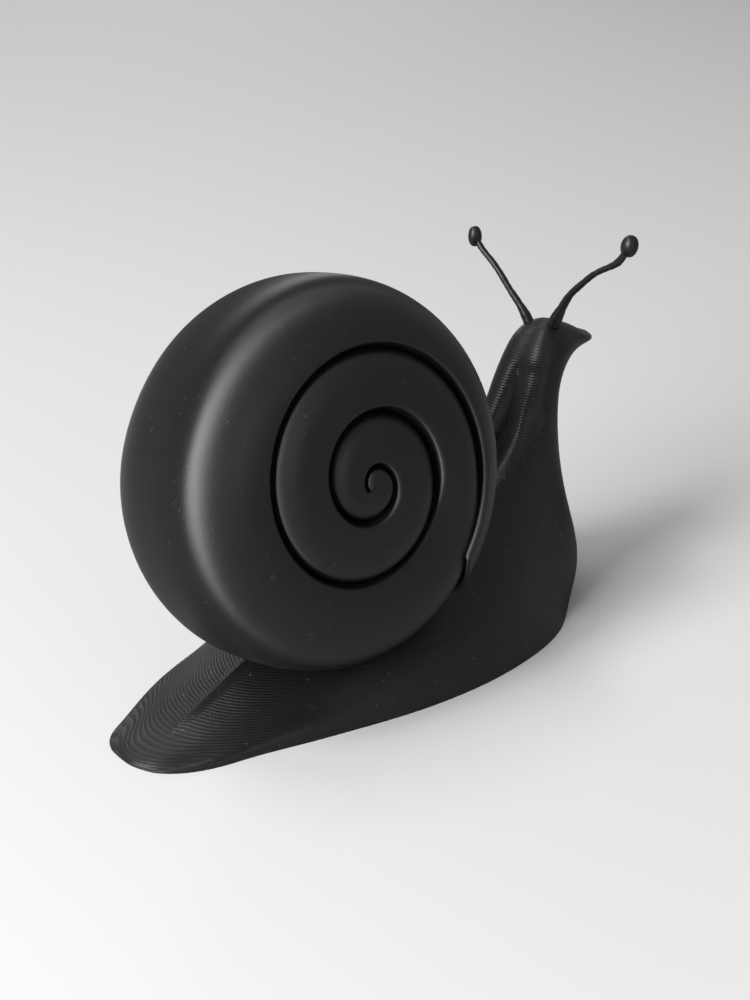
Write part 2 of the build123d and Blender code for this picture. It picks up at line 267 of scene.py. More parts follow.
# Body sections from the tail tip to the snout: where the base and the top lie along the foot and
# up the head's height, the base's swing to the left, and half widths at five heights, as shares
# of half the foot's width
BODY_SHARES = [
    (0.002, 0.0, 0.003, 0.012, 0.020, (0.120, 0.12, 0.10, 0.06, 0.008)),
    (0.020, 0.0, 0.020, 0.022, 0.037, (0.270, 0.27, 0.24, 0.16, 0.010)),
    (0.066, 0.0, 0.066, 0.040, 0.025, (0.420, 0.41, 0.36, 0.24, 0.010)),
    (0.141, 0.0, 0.141, 0.087, 0.035, (0.543, 0.53, 0.48, 0.31, 0.012)),
    (0.224, 0.0, 0.224, 0.156, 0.020, (0.657, 0.64, 0.56, 0.34, 0.012)),
    (0.310, 0.0, 0.310, 0.215, 0.0, (0.765, 0.74, 0.66, 0.44, 0.05)),
    (0.414, 0.0, 0.414, 0.260, 0.0, (0.900, 0.87, 0.78, 0.56, 0.12)),
    (0.535, 0.0, 0.535, 0.300, 0.0, (0.990, 0.96, 0.84, 0.60, 0.18)),
    (0.655, 0.0, 0.655, 0.370, 0.0, (0.995, 0.95, 0.78, 0.55, 0.22)),
    (0.793, 0.0, 0.741, 0.470, 0.0, (0.865, 0.81, 0.64, 0.45, 0.20)),
    (0.895, 0.0, 0.798, 0.560, 0.0, (0.600, 0.63, 0.52, 0.38, 0.18)),
    (0.962, 0.074, 0.833, 0.625, 0.0, (0.400, 0.49, 0.43, 0.34, 0.17)),
    (0.965, 0.260, 0.853, 0.680, 0.0, (0.270, 0.36, 0.36, 0.30, 0.16)),
    (0.959, 0.444, 0.869, 0.735, 0.0, (0.200, 0.28, 0.31, 0.27, 0.15)),
    (0.957, 0.650, 0.886, 0.800, 0.0, (0.160, 0.24, 0.27, 0.25, 0.14)),
    (0.972, 0.775, 0.908, 0.885, 0.0, (0.140, 0.21, 0.25, 0.23, 0.11)),
    (1.004, 0.846, 0.945, 0.975, 0.0, (0.130, 0.19, 0.23, 0.20, 0.09)),
    (1.036, 0.868, 1.000, 0.978, 0.0, (0.120, 0.17, 0.19, 0.16, 0.08)),
    (1.064, 0.872, 1.045, 0.930, 0.0, (0.100, 0.14, 0.16, 0.13, 0.06)),
    (1.083, 0.868, 1.078, 0.900, 0.0, (0.050, 0.08, 0.09, 0.07, 0.03)),
]
HEIGHT_SHARES = (0.0, 0.15, 0.45, 0.75, 1.0)
# The foot's rim takes at most this share of a low section's height
HIGHEST_RIM_SHARE = 0.35
# Steps of a ring between the points of its section, from the right edge of the sole over the
# back to the left one, and points across the sole
BACK_STEPS = (5, 16, 20, 16, 5)
SOLE_POINTS = 12
# How far before the ridge's end the tail's ridge turns round and its crest fades out, as shares
# of the foot's length, the crest's form, the least width of the tail's end as a share of its
# rounding, and the body's distance inside the CAD box
RIDGE_FADE = 0.12
CREST_FADE = (0.2, 0.05)
CREST_SHARPNESS = 1.6
CREST_FOOT = (0.001, 0.0025)
BLUNTEST_TIP = 0.03
BOX_SPARE = 1e-5
# The scoop: how far back a face has to look, the width of its left step, the softness of its right
# side, and where its lower edge, its shallower run and its upper edge lie up its height
SCOOP_FACING = (-0.25, 0.10)
SCOOP_STEP = 0.12
SCOOP_SOFTNESS = 0.6
SCOOP_LOWER_EDGE, SCOOP_RUN, SCOOP_UPPER_EDGE = (-0.02, 0.08), (0.25, 1.0), (0.9, 1.0)
SCOOP_SHALLOWING = 0.75

# Stalk paths from root to tip in the plane between the eyes: to the left and above the crown, as
# shares of the head's height, and the thickness as a share of the stalk's diameter
CROWN_SHARE = 0.966
LEFT_STALK_SHARES = [
    (0.044, -0.067, 1.40), (0.070, -0.022, 1.70), (0.108, 0.026, 1.20), (0.161, 0.078, 1.00),
    (0.209, 0.130, 1.00), (0.257, 0.174, 0.95), (0.300, 0.207, 0.95), (0.333, 0.244, 0.90),
]
RIGHT_STALK_SHARES = [
    (-0.033, -0.048, 1.40), (-0.056, 0.004, 1.75), (-0.087, 0.064, 1.20), (-0.121, 0.120, 0.95),
    (-0.169, 0.170, 0.88), (-0.226, 0.222, 0.80), (-0.280, 0.256, 0.80), (-0.328, 0.288, 1.00),
    (-0.362, 0.338, 0.90),
]
STALK_RINGS, STALK_SIDES = 90, 24
STALK_UNEVENNESS = 0.05
STALK_WAVES = (5200, 2100)

# Knobs: their middles in the same plane, their lean to the left, and half of their outline
LEFT_KNOB_SHARES = (0.338, 0.250)
RIGHT_KNOB_SHARES = (-0.374, 0.357)
LEFT_KNOB_LEAN, RIGHT_KNOB_LEAN = 0.05, -0.25
KNOB_OUTLINE_SHARES = (
    (0.0, -0.50), (0.26, -0.46), (0.43, -0.28), (0.50, 0.0), (0.44, 0.26), (0.25, 0.45), (0.0, 0.50),
)
KNOB_RINGS, KNOB_SIDES = 28, 32
KNOB_UNEVENNESS = 0.03

# Sizes of the shell's coil: inputs of its node tree, each named like the property it comes from
COIL_INPUTS = (
    "Radius", "Thickness", "Rim reach", "Rim drift", "Pitch", "Shoulder depth", "Face fall",
    "Apex rise", "Groove width", "Groove depth", "Sink", "Shoulder power", "Hook radius",
    "Overlap", "Lip wall", "Lip flare", "Mouth radius",
)

# Places along the coil, as angles from the shell's top towards the head and so on outwards
HOOK_START = radians(-138)
EVEN_SPIRAL_START = radians(-18)
LAST_TURN_START = radians(503)
LAST_TURN_BLEND = (radians(455), radians(512))
LIP_START = radians(825)
MOUTH_PLACE = radians(862)
SEAT_STRETCHES = {"rear": (505, 640), "front": (770, 858)}

# Lengths along the coil, as angles
TIP_LENGTH, LIP_LENGTH, HOLLOW_DEPTH = radians(16), radians(60), radians(34)
GROOVE_OPENING, GROOVE_WIDENING = radians(28), radians(330)
HOOK_WIDENING = radians(165)

# The mouth's straight edge: which way it lies from the axis, and where it has the mouth's radius
MOUTH_FACING, MOUTH_CORNER = radians(79), radians(134)

# Shares of the coil's steps that go to its outside, the lip's edge and the mouth's hollow, how
# they crowd along the outside, and where a section's shoulder and face end among its points
OUTER_RUN, LIP_RUN, HOLLOW_RUN = 0.86, 0.03, 0.07
OUTER_CROWDING = 0.85
SHOULDER_END, FACE_END = 0.5, 0.86

# How the section changes: the hook's widening, the groove's and the shoulder's size at the coil's
# start, where a crest lies between its grooves, and the squareness of the last turn's rim at its
# start and from its first quarter on
WIDEST_HOOK = 1.22
NARROWEST_GROOVE = 0.55
SMALLEST_SHOULDER = 0.3
CREST_SHARE = 0.45
RIM_POWERS = (3.4, 2.5)

# How quickly the two faces part at the rim, how far the section's inner end tucks in, how
# abruptly a cutter's ends close, and the least radius for the lip's bulge
FACES_PART = 12
INNER_TUCK = 0.6
END_CLOSING = 4000
LEAST_RADIUS = 0.001

# The rim's radius round the last turn, every sixth of a turn, as shares of the shell's radius,
# and the range of the curve that holds them
RIM_SHARES = (0.942, 0.981, 0.995, 0.965, 0.988, 0.997, 0.997)
LEAST_RIM, MOST_RIM = 0.9, 1.0

# Distances at which doubles merge, the steps of the seat's cutters, and the angle of a sharp edge
BODY_MERGE, COIL_MERGE, SHELL_MERGE = 1e-6, 2e-6, 3e-6
SEAT_STEPS = (120, 110)
SHARP_EDGE = radians(40)

# The plastic's patterns: the scales of their noise, the levels at which a speck shows, how clouds
# shade colour and gloss, where the sheen fades towards the flat faces, and how layers waver, fade
# in patches and double on shallow slopes
CLOUD_SCALE, SPECK_SCALE, GRAIN_SCALE, WOBBLE_SCALE, PATCH_SCALE = 90.0, 1900.0, 3200.0, 260.0, 140.0
SPECK_LEVELS = (0.72, 0.78)
CLOUD_SHADES = (0.75, 1.25)
CLOUD_GLOSS = 0.04
SHEEN_FADE = (0.55, 0.95)
LAYER_WOBBLE = 0.00006
FAINTEST_LAYERS = 0.35
SHALLOW_SLOPES = (0.5, 0.7)
SHELL_FINENESS = 0.5


def spline(points, knots=None):
    """A smooth curve through points, as a function of these knots or of its chord length, and
    its knots."""
    p = np.asarray(points, float)
    if knots is None:
        knots = np.concatenate([[0], np.cumsum(np.linalg.norm(np.diff(p, axis=0), axis=1))])
    n = len(p)
    h = np.diff(knots)
    a = np.eye(n)
    b = np.zeros_like(p)
    for i in range(1, n - 1):
        a[i, i - 1:i + 2] = h[i - 1], 2 * (h[i - 1] + h[i]), h[i]
        b[i] = 6 * ((p[i + 1] - p[i]) / h[i] - (p[i] - p[i - 1]) / h[i - 1])
    bend = np.linalg.solve(a, b)

    def at(t):
        t = np.atleast_1d(t)
        i = np.clip(np.searchsorted(knots, t, side="right") - 1, 0, n - 2)
        w, s = h[i][:, None], (t - knots[i])[:, None]
        r = w - s
        return (bend[i] * r ** 3 + bend[i + 1] * s ** 3) / (6 * w) + (p[i] / w - bend[i] * w / 6) * r \
            + (p[i + 1] / w - bend[i + 1] * w / 6) * s

    return at, knots


def through(points, counts):
    """Points on a smooth curve, with a count of steps for each stretch between its knots."""
    at, knots = spline(points)
    steps = [np.linspace(a, b, count, endpoint=False) for a, b, count in zip(knots, knots[1:], counts)]
    return at(np.concatenate([*steps, knots[-1:]]))


def smooth_step(low, high, x):
    """Eases from nothing at low to one at high."""
    t = np.clip((x - low) / (high - low), 0, 1)
    return t * t * (3 - 2 * t)


def new_piece(name, mesh, node):
    """Links a finished mesh as the piece that stands for this node."""
    piece = bpy.data.objects.new(name, mesh)
    bpy.context.scene.collection.objects.link(piece)
    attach(piece, "root")
    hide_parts(node)


def grid_mesh(name, rings):
    """A closed mesh through rings of points; both ends close on the middle of their ring."""
    rows, columns = rings.shape[:2]
    i, j = np.meshgrid(np.arange(rows - 1), np.arange(columns), indexing="ij")
    k = (j + 1) % columns
    quads = np.stack([i * columns + j, i * columns + k, (i + 1) * columns + k, (i + 1) * columns + j], -1)
    faces = quads.reshape(-1, 4).tolist()
    points = np.concatenate([rings.reshape(-1, 3), rings[:1].mean(1), rings[-1:].mean(1)])
    first, last = len(points) - 2, len(points) - 1
    start = (rows - 1) * columns
    for j in range(columns):
        k = (j + 1) % columns
        faces.append([first, k, j])
        faces.append([last, start + j, start + k])
    mesh = bpy.data.meshes.new(name)
    mesh.from_pydata(points.tolist(), [], faces)
    return mesh


def tidy_mesh(mesh, merge=BODY_MERGE, crease=None):
    """Merges doubles, drops thin faces, points faces outwards and shades them smooth."""
    work = bmesh.new()
    work.from_mesh(mesh)
    bmesh.ops.remove_doubles(work, verts=work.verts, dist=merge)
    bmesh.ops.dissolve_degenerate(work, edges=work.edges, dist=merge / 4)
    bmesh.ops.recalc_face_normals(work, faces=work.faces)
    work.to_mesh(mesh)
    work.free()
    mesh.shade_smooth()
    if crease:
        mesh.set_sharp_from_angle(angle=crease)
    return mesh


# Body

def section_points(sizes, base_x, base_z, top_x, top_z, swing, width_shares):
    """The points of one section, from its right edge over its top to its left one."""
    base = np.array([(base_x - 0.5) * sizes.foot_length, 0, base_z * sizes.head_height])
    top = np.array([(top_x - 0.5) * sizes.foot_length, 0, top_z * sizes.head_height])
    height = np.linalg.norm(top - base)
    up = (top - base) / height
    on_ground = base_z == 0
    rim = min(sizes.rim_height, HIGHEST_RIM_SHARE * height) if on_ground else HEIGHT_SHARES[1] * height
    heights = [0, rim] + [share * height for share in HEIGHT_SHARES[2:]]
    reach = sizes.foot_width / 2
    right, left = (
        [base + up * along + np.array([0, (swing * (1 - share) + side * width) * reach, 0])
         for along, share, width in zip(heights, HEIGHT_SHARES, width_shares)]
        for side in (-1, 1)
    )
    return right + [top] + left[::-1], up, on_ground


def body_rings(sizes):
    """Rings of points from the tail to the snout. The first run of each goes over the back."""
    rows = []
    for section in BODY_SHARES:
        over, up, on_ground = section_points(sizes, *section)
        round_back = through(over, BACK_STEPS + BACK_STEPS[::-1])
        ridged_back = np.concatenate([
            through(over[:5], BACK_STEPS[:4])[:-1],
            through(over[4:7], BACK_STEPS[4:] + BACK_STEPS[4:])[:-1],
            through(over[6:], BACK_STEPS[3::-1]),
        ])
        top_x = section[2]
        ridge = 1 - smooth_step(sizes.ridge_end - RIDGE_FADE, sizes.ridge_end, top_x)
        back = round_back * (1 - ridge) + ridged_back * ridge
        across = np.linspace(0, 1, SOLE_POINTS + 2)[1:-1, None]
        sole = over[-1] * (1 - across) + over[0] * across
        if not on_ground:
            sole = sole - up * sizes.throat_bulge * 4 * across * (1 - across)
        rows.append(np.concatenate([back, sole]))
    rows = np.array(rows)
    steps = np.linalg.norm(np.diff(rows, axis=0), axis=2).mean(1)
    stations = np.concatenate([[0], np.cumsum(steps)])
    at, _ = spline(rows.reshape(len(rows), -1), stations)
    t = stations[-1] * np.linspace(0, 1, sizes.steps_along) ** sizes.tail_crowding
    rings = at(t).reshape(len(t), -1, 3)

    # The flat end of the loft is rounded off at the tail
    tip = np.clip(t / sizes.tip_length, BLUNTEST_TIP, 1)[:, None]
    centre = rings[..., 1].mean(1, keepdims=True)
    rings[..., 1] = centre + (rings[..., 1] - centre) * np.sqrt(1 - (1 - tip) ** 2)
    low, high = np.array(cad_box)
    rings = np.clip(rings, low + [0, BOX_SPARE, 0], high - [BOX_SPARE, BOX_SPARE, 0])

    # A crest stands on the tail's ridge
    crest_start, crest_end = (sizes.ridge_end - fade for fade in CREST_FADE)
    on_tail = 1 - smooth_step(crest_start, crest_end, rings[..., 0] / sizes.foot_length + 0.5)
    near_ridge = np.clip(1 - np.abs(rings[..., 1]) / sizes.crest_width, 0, 1) ** CREST_SHARPNESS
    above = smooth_step(*CREST_FOOT, rings[..., 2])
    rings[..., 2] += sizes.crest_height * on_tail * near_ridge * above
    return rings


def scoop(rings, sizes):
    """Presses the scoop into the right of the nape: a step on its left, a soft ridge on its right."""
    along = np.gradient(rings, axis=0)
    around = np.roll(rings, -1, axis=1) - np.roll(rings, 1, axis=1)
    normal = np.cross(around, along)
    normal /= np.linalg.norm(normal, axis=2, keepdims=True) + 1e-12
    middle = rings.mean(1, keepdims=True)
    if ((rings - middle) * normal).sum(2).mean() < 0:
        normal = -normal
    y, z = rings[..., 1], rings[..., 2]
    looks_back = smooth_step(*SCOOP_FACING, -normal[..., 0])
    across = (sizes.scoop_left - y) / (sizes.scoop_left + sizes.scoop_right)
    step, soft_side = smooth_step(0, SCOOP_STEP, across), np.clip(1 - across, 0, 1) ** SCOOP_SOFTNESS
    height = (z - sizes.scoop_bottom) / (sizes.scoop_top - sizes.scoop_bottom)
    lower_edge = smooth_step(*SCOOP_LOWER_EDGE, height)
    shallower = 1 - smooth_step(*SCOOP_RUN, height) * SCOOP_SHALLOWING
    upper_edge = 1 - smooth_step(*SCOOP_UPPER_EDGE, height)
    depth = sizes.scoop_depth * (step * soft_side) * (lower_edge * shallower * upper_edge) * looks_back
    low, high = np.array(cad_box)
    return np.clip(rings - normal * depth[..., None], low, high)


# Node trees

def add_node(tree, kind, inputs=(), **settings):
    """A new node with these settings; each of its inputs gets a value or a link to a socket."""
    node = tree.nodes.new(kind)
    for name, value in settings.items():
        setattr(node, name, value)
    for label, value in dict(inputs).items():
        if isinstance(value, Sum):
            value = value.socket
        if isinstance(value, bpy.types.NodeSocket):
            tree.links.new(value, node.inputs[label])
        else:
            node.inputs[label].default_value = value
    return node


class Sum:
    """A number in a node tree, so that a shape's or a finish's rule reads as plain sums."""

    def __init__(self, tree, socket):
        self.tree, self.socket = tree, socket

    def of(self, operation, *others, clamp=False):
        inputs = enumerate((self, *others))
        node = add_node(self.tree, "ShaderNodeMath", inputs, operation=operation, use_clamp=clamp)
        return Sum(self.tree, node.outputs[0])

    def __add__(self, other):
        return self.of("ADD", other)

    def __sub__(self, other):
        return self.of("SUBTRACT", other)

    def __mul__(self, other):
        return self.of("MULTIPLY", other)

    def __truediv__(self, other):
        return self.of("DIVIDE", other)

    def __pow__(self, other):
        return self.of("POWER", other)

    def __neg__(self):
        return self.of("MULTIPLY", -1.0)

    __radd__ = __add__
    __rmul__ = __mul__

    def __rsub__(self, other):
        return (-self) + other

    def __rtruediv__(self, other):
        return self.of("POWER", -1.0) * other

    def at_least(self, other):
        return self.of("MAXIMUM", other)

    def at_most(self, other):
        return self.of("MINIMUM", other)

    def clamped(self):
        return self.of("ADD", 0.0, clamp=True)

    def eased(self, low, high):
        t = ((self - low) / (high - low)).clamped()
        return t * t * (3 - 2 * t)


def mix(a, b, share):
    """From a at share nothing to b at share one."""
    return a + (b - a) * share


# Shell

def coil_tree(name, start_angle, end_angle=None, grow=0.0):
    """Node tree that sweeps the whorl's section along the coil, as a closed skin. With an end
    angle it is a plain stretch, grown by this much, and without one it ends in the open mouth."""
    tree = bpy.data.node_groups.new(name, "GeometryNodeTree")
    face = tree.interface
    face.new_socket("Geometry", in_out="OUTPUT", socket_type="NodeSocketGeometry")
    kinds = {**dict.fromkeys(COIL_INPUTS, "Float"), "Steps along": "Int", "Steps around": "Int"}
    for label, kind in {**kinds, "Material": "Material"}.items():
        face.new_socket(label, in_out="INPUT", socket_type="NodeSocket" + kind)
    into = add_node(tree, "NodeGroupInput")
    (radius, thickness, reach, drift, pitch, shoulder, fall, rise, groove_width, groove_depth, sink,
     squareness, hook_radius, overlap, wall, flare, mouth_radius) = (
        Sum(tree, into.outputs[label]) for label in COIL_INPUTS)

    grid = add_node(tree, "GeometryNodeMeshGrid", {
        "Size X": 1, "Size Y": 1,
        "Vertices X": into.outputs["Steps along"], "Vertices Y": into.outputs["Steps around"],
    })
    place = add_node(tree, "GeometryNodeInputPosition")
    split = add_node(tree, "ShaderNodeSeparateXYZ", {"Vector": place.outputs[0]})
    along = Sum(tree, split.outputs[0]) + 0.5
    around = Sum(tree, split.outputs[1]) + 0.5

    # A section is drawn on both faces alike: q runs from the rim at 0 to its inner end at 1
    side = (around * -2 + 1).of("SIGN")
    q = (around * 2).at_most(2 - around * 2)

    def one(value):
        """A fixed number as a node."""
        socket = add_node(tree, "ShaderNodeValue").outputs[0]
        socket.default_value = value
        return Sum(tree, socket)

    def rim_share(share):
        """Share of the shell's radius that the rim has at this share of the last turn."""
        node = add_node(tree, "ShaderNodeFloatCurve", {"Value": share})
        points = node.mapping.curves[0].points
        while len(points) < len(RIM_SHARES):
            points.new(0.5, 0.5)
        for i, value in enumerate(RIM_SHARES):
            points[i].location = (i / (len(RIM_SHARES) - 1), (value - LEAST_RIM) / (MOST_RIM - LEAST_RIM))
        node.mapping.update()
        return Sum(tree, node.outputs[0]) * (MOST_RIM - LEAST_RIM) + LEAST_RIM

    def groove_radius(angle):
        """Radius of the groove: an even spiral that curls into a hook round the middle."""
        spiral = (pitch * (angle - EVEN_SPIRAL_START) / FULL_TURN).at_least(0.0)
        hook = hook_radius * mix(1.0, WIDEST_HOOK, ((angle - HOOK_START) / HOOK_WIDENING).clamped())
        return (spiral ** 4 + hook ** 4) ** 0.25

    def profile(angle, inset):
        """Radius and height of the section at this angle and place round it, and its crest."""
        opening = angle.eased(HOOK_START, HOOK_START + GROOVE_OPENING)
        inner_suture = groove_radius(angle) * opening
        outer_suture = groove_radius(angle + FULL_TURN)
        full = (outer_suture / pitch).at_most(1.0)
        wide = mix(NARROWEST_GROOVE, 1.0, ((angle - HOOK_START) / GROOVE_WIDENING).clamped())
        slope = groove_width * wide
        last = angle.eased(*LAST_TURN_BLEND)
        share = ((angle - LAST_TURN_START) / FULL_TURN).clamped()
        rim = radius * rim_share(share)
        lip = (angle - LIP_START).at_least(0.0) / LIP_LENGTH
        crest = mix(inner_suture + (outer_suture - inner_suture) * CREST_SHARE, rim - reach, last)
        outer = mix(outer_suture + overlap * full, rim, last) + flare * lip - inset
        last_half = thickness * 0.5 + (rise - fall + drift * share) - inset
        depth = mix(shoulder * mix(SMALLEST_SHOULDER, 1.0, full), last_half, last)
        power = mix(squareness, mix(*RIM_POWERS, (share * 4).clamped()), last)

        def height_at(r):
            """Height of the shoulder's curve at this radius, and how far out that lies."""
            x = ((r - crest) / (outer - crest)).at_least(0.0).at_most(0.9999)
            return (1 - x ** power).at_least(0.0) ** (1 / power), x

        crest_end = crest.at_least(inner_suture + slope)
        y_end, x_end = height_at(crest_end)
        turn = y_end.of("ARCTAN2", x_end) * (q / SHOULDER_END).clamped()
        c, s = turn.of("COSINE").at_least(0.0), turn.of("SINE")
        size = (c ** power + s ** power) ** (-1 / power)
        shoulder_r = crest + (outer - crest) * c * size
        over_face = ((q - SHOULDER_END) / (FACE_END - SHOULDER_END)).clamped()
        face_r = mix(crest_end, inner_suture, over_face)
        on_face = q.of("GREATER_THAN", SHOULDER_END)
        r = mix(shoulder_r, face_r, on_face)
        y_face, _ = height_at(face_r)
        y = mix(s * size, y_face, on_face)
        into_groove = 1 - ((r - inner_suture) / slope).clamped()
        half = mix(thickness * 0.5 + rise - fall * r / reach - inset, last_half, last)
        sunk = sink * last * (1 - (r - crest) / (outer - crest)).clamped()
        dip = groove_depth * wide * opening * into_groove ** 2 + sunk
        z = (half - depth) * (q * FACES_PART).clamped() + depth * y - dip
        tuck = ((q - FACE_END) / (1 - FACE_END)).clamped()
        return r * (1 - tuck * INNER_TUCK), z * (1 - tuck), crest

    if end_angle is None:
        lip_radius, _, _ = profile(one(MOUTH_PLACE), 0.0)
        edge_distance = mouth_radius * math.cos(MOUTH_CORNER - MOUTH_FACING)
        end = (edge_distance / lip_radius).at_most(1.0).of("ARCCOSINE") + (2 * FULL_TURN + MOUTH_FACING)
        travel = (along / OUTER_RUN).clamped() ** OUTER_CROWDING
        fold = ((along - OUTER_RUN) / LIP_RUN).clamped()
        back = ((along - OUTER_RUN - LIP_RUN) / HOLLOW_RUN).clamped()
        rest = 1 - OUTER_RUN - LIP_RUN - HOLLOW_RUN
        shut = ((along - OUTER_RUN - LIP_RUN - HOLLOW_RUN) / rest).clamped()
        inset = wall * (1 - (fold * math.pi).of("COSINE")) * 0.5
        angle = mix(start_angle, end, travel) - HOLLOW_DEPTH * back
        r, z, crest = profile(angle, inset)
        bulge = wall * 0.5 * (fold * math.pi).of("SINE")
        angle = angle + bulge / r.at_least(LEAST_RADIUS)
        tip = ((angle - start_angle) / TIP_LENGTH).clamped()
        opened = (1 - (1 - tip) ** 2).at_least(0.0).of("SQRT")
        r = mix(crest, r, opened)
        z = z * opened
    else:
        travel = along.clamped()
        angle = mix(start_angle, one(end_angle), travel)
        shut = 1 - (travel.at_most(1 - travel) * END_CLOSING).clamped()
        r, z, crest = profile(angle, -grow)
    r = mix(r, crest, shut)
    z = z * (1 - shut)
    point = add_node(tree, "ShaderNodeCombineXYZ", {
        "X": r * angle.of("SINE"), "Y": r * angle.of("COSINE"), "Z": z * side})
    skin = grid.outputs["Mesh"]
    for kind, inputs in (
        ("GeometryNodeSetPosition", {"Position": point.outputs[0]}),
        ("GeometryNodeMergeByDistance", {"Distance": COIL_MERGE}),
        ("GeometryNodeRealizeInstances", {}),
        ("GeometryNodeSetMaterial", {"Material": into.outputs["Material"]}),
    ):
        skin = add_node(tree, kind, {"Geometry": skin, **inputs}).outputs[0]
    add_node(tree, "NodeGroupOutput", {"Geometry": skin})
    return tree


def made_by_nodes(name, tree, values):
    """Runs a node tree with these named values and returns its result as a plain mesh."""
    carrier = bpy.data.objects.new(name, bpy.data.meshes.new(name))
    bpy.context.scene.collection.objects.link(carrier)
    modifier = carrier.modifiers.new(name, "NODES")
    modifier.node_group = tree
    for item in tree.interface.items_tree:
        if item.item_type == "SOCKET" and item.in_out == "INPUT":
            modifier[item.identifier] = values[item.name]
    bpy.context.view_layer.update()
    graph = bpy.context.evaluated_depsgraph_get()
    mesh = bpy.data.meshes.new_from_object(carrier.evaluated_get(graph))
    carrier.modifiers.remove(modifier)
    bpy.data.objects.remove(carrier)
    return mesh


def coil_values(sizes, material, steps_along, steps_around):
    """Values for the coil tree's named inputs."""
    values = {label: getattr(sizes, label.lower().replace(" ", "_")) for label in COIL_INPUTS}
    values.update({"Steps along": steps_along, "Steps around": steps_around, "Material": material})
    return values


def shell_place(sizes):
    """Where the coil stands: its x ahead, its y up and its z along its axis to the right."""
    axis = Vector((
        -math.sin(sizes.yaw) * math.cos(sizes.tilt),
        -math.cos(sizes.yaw) * math.cos(sizes.tilt),
        math.sin(sizes.tilt),
    ))
    ahead = Vector((0, 0, 1)).cross(axis).normalized()
    up = axis.cross(ahead)
    turn = Matrix((ahead, up, axis)).transposed().to_4x4()
    return Matrix.Translation((-sizes.behind_middle, -sizes.beside_middle, sizes.centre_height)) @ turn


# Finishes

def mixed_colour(tree, first, second, share):
    """A colour between two colours, by this share."""
    node = add_node(tree, "ShaderNodeMix", {"A": first, "B": second, "Factor": share}, data_type="RGBA")
    return node.outputs["Result"]


def plastic(name, colour, roughness, layers, fineness=1.0, sweep=None):
    """Black plastic with faint clouds, specks and grain. Its layers lie along this direction:
    upwards in the body, along the coil's axis in the shell, none in a strand. A low fineness
    makes layers closer and specks fainter, and a sweep is the middle and the axis that the
    sheen runs round."""
    material = bpy.data.materials.new(name)
    material.use_nodes = True
    tree = material.node_tree
    tree.nodes.clear()
    coordinates = add_node(tree, "ShaderNodeTexCoord").outputs
    values = bpy.context.scene.snail_plastic

    def noise(scale, detail=3.0):
        inputs = {"Vector": coordinates["Object"], "Scale": scale, "Detail": detail}
        return Sum(tree, add_node(tree, "ShaderNodeTexNoise", inputs).outputs["Fac"])

    def vector_math(operation, *inputs):
        return add_node(tree, "ShaderNodeVectorMath", enumerate(inputs), operation=operation).outputs

    def along(output, direction):
        """How far the point or the normal lies along a direction."""
        return Sum(tree, vector_math("DOT_PRODUCT", coordinates[output], direction)["Value"])

    cloud = noise(CLOUD_SCALE)
    specks = noise(SPECK_SCALE, 1.0).eased(*SPECK_LEVELS) * fineness
    grain = noise(GRAIN_SCALE, 2.0)
    dark, pale = ([*(c * shade for c in colour), 1] for shade in CLOUD_SHADES)
    tone = mixed_colour(tree, dark, pale, cloud)
    looks = {
        "Base Color": mixed_colour(tree, tone, (*values.speck_colour, 1), specks),
        "Roughness": mix(roughness - CLOUD_GLOSS, roughness + CLOUD_GLOSS, cloud).clamped(),
        "IOR": values.gloss_index,
    }
    if sweep:
        # The sheen's tangent is the axis crossed with the way out from the middle
        middle, axis = sweep
        outwards = vector_math("SUBTRACT", coordinates["Object"], middle)[0]
        looks["Tangent"] = vector_math("CROSS_PRODUCT", axis, outwards)[0]
        flatness = along("Normal", axis).of("ABSOLUTE").eased(*SHEEN_FADE)
        looks["Anisotropic"] = (1 - flatness) * values.shell_sheen
    height = grain * values.grain_relief
    if layers is not None:
        slope = along("Normal", layers).of("ABSOLUTE")
        wobble = noise(WOBBLE_SCALE, 2.0) * LAYER_WOBBLE
        place = (along("Object", layers) + wobble) / (values.layer_height * fineness)

        def beads(number):
            """Rounded beads, this number of them to a layer."""
            step = (place * number).of("FRACT")
            return step * (1 - step) * 4

        strength = mix(FAINTEST_LAYERS, 1.0, noise(PATCH_SCALE))
        shallow = slope.eased(*SHALLOW_SLOPES)
        relief = mix(beads(1) * values.layer_relief, beads(2) * values.step_relief, shallow)
        height = height + relief * strength * fineness ** 3
    bump = add_node(tree, "ShaderNodeBump", {"Distance": 1.0, "Strength": 1.0, "Height": height})
    shader = add_node(tree, "ShaderNodeBsdfPrincipled", {**looks, "Normal": bump.outputs[0]})
    add_node(tree, "ShaderNodeOutputMaterial", {"Surface": shader.outputs[0]})
    return material


def stage_material(name, lit_colour, seen_colour):
    """A matt floor that looks paler to the camera than the light it throws back."""
    material = bpy.data.materials.new(name)
    material.use_nodes = True
    tree = material.node_tree
    shader = tree.nodes["Principled BSDF"]
    ray = add_node(tree, "ShaderNodeLightPath")
    tone = mixed_colour(tree, (*lit_colour, 1), (*seen_colour, 1), ray.outputs["Is Camera Ray"])
    tree.links.new(tone, shader.inputs["Base Color"])
    shader.inputs["Roughness"].default_value = 0.8
    shader.inputs["Specular IOR Level"].default_value = 0.2
    return material


def finish(name):
    """The plastic of this name, made when it is first asked for."""
    found = bpy.data.materials.get(name)
    if found:
        return found
    values = bpy.context.scene.snail_plastic
    if name == "layered_black_plastic":
        return plastic(name, values.colour, values.body_roughness, (0, 0, 1))
    if name == "smooth_black_plastic":
        place = shell_place(bpy.context.scene.snail_shell)
        axis = place.to_3x3().col[2]
        sweep = (place.translation, axis)
        return plastic(name, values.colour, values.shell_roughness, axis, SHELL_FINENESS, sweep)
    return plastic(name, values.colour, values.strand_roughness, None)


